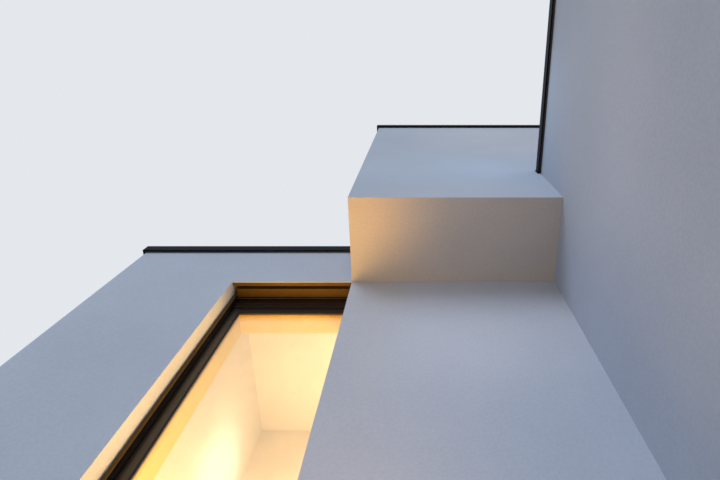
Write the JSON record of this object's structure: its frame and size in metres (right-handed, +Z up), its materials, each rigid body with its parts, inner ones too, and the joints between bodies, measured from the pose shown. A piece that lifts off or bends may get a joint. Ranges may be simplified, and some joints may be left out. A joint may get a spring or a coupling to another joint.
{
  "type": "detached house",
  "caption": "Flat-roofed stepped house in pale render with an overhanging top storey, tall dark-framed windows and dark parapet copings.",
  "frame": {"origin": "on the ground at the middle of the plan", "axes": "+Z up, -Y towards the entrance side, +X to the right seen from the entrance side"},
  "size_m": [10.08, 11.58, 9.51],
  "materials": {
    "render": "matt fine-grained render, pale blue-grey",
    "soffit_render": "matt fine-grained render, pale blue-grey",
    "concrete": "painted concrete ceiling, screed floor",
    "roof_gravel": "grey gravel",
    "room_plaster": "matt painted plaster",
    "coping_metal": "blue-black coated sheet, satin",
    "frame_metal": "near-black coating, satin",
    "blind_metal": "dark bronze coating, satin",
    "sill_metal": "anthracite coated sheet, satin",
    "door_panel": "anthracite coating, satin",
    "handle_steel": "brushed",
    "inner_frame": "clear lacquered pale wood, for the linings at the room side of the windows",
    "window_glass": "clear"
  },
  "bodies": {
    "root": {"front_wall": "render", "entrance_wall": "render", "left_wall": "render", "rear_wall": "render", "right_wall": "render", "wing_side_wall": "render", "wing_front_wall": "render", "box_front_wall": "render", "box_side_wall": "render", "ground_slab": "concrete", "first_floor_slab": "concrete", "box_floor_slab": "soffit_render", "main_roof": "roof_gravel", "wing_roof": "roof_gravel", "box_roof": "roof_gravel", "main_coping": "coping_metal", "wing_coping": "coping_metal", "box_coping": "coping_metal", "inner_side_wall": "room_plaster", "inner_back_wall": "room_plaster", "door_frame": "frame_metal", "door_leaf": "door_panel", "door_handle": "handle_steel", "front_window_frames": "frame_metal", "front_window_glass": "window_glass", "front_guide_rails": "blind_metal", "front_blinds": "blind_metal", "front_sills": "sill_metal", "left_window_frames": "frame_metal", "left_window_glass": "window_glass", "left_guide_rails": "blind_metal", "left_blinds": "blind_metal", "left_sills": "sill_metal", "rear_window_frames": "frame_metal", "rear_window_glass": "window_glass", "rear_guide_rails": "blind_metal", "rear_blinds": "blind_metal", "rear_sills": "sill_metal", "right_window_frames": "frame_metal", "right_window_glass": "window_glass", "right_guide_rails": "blind_metal", "right_blinds": "blind_metal", "right_sills": "sill_metal"}
  },
  "joints": []
}
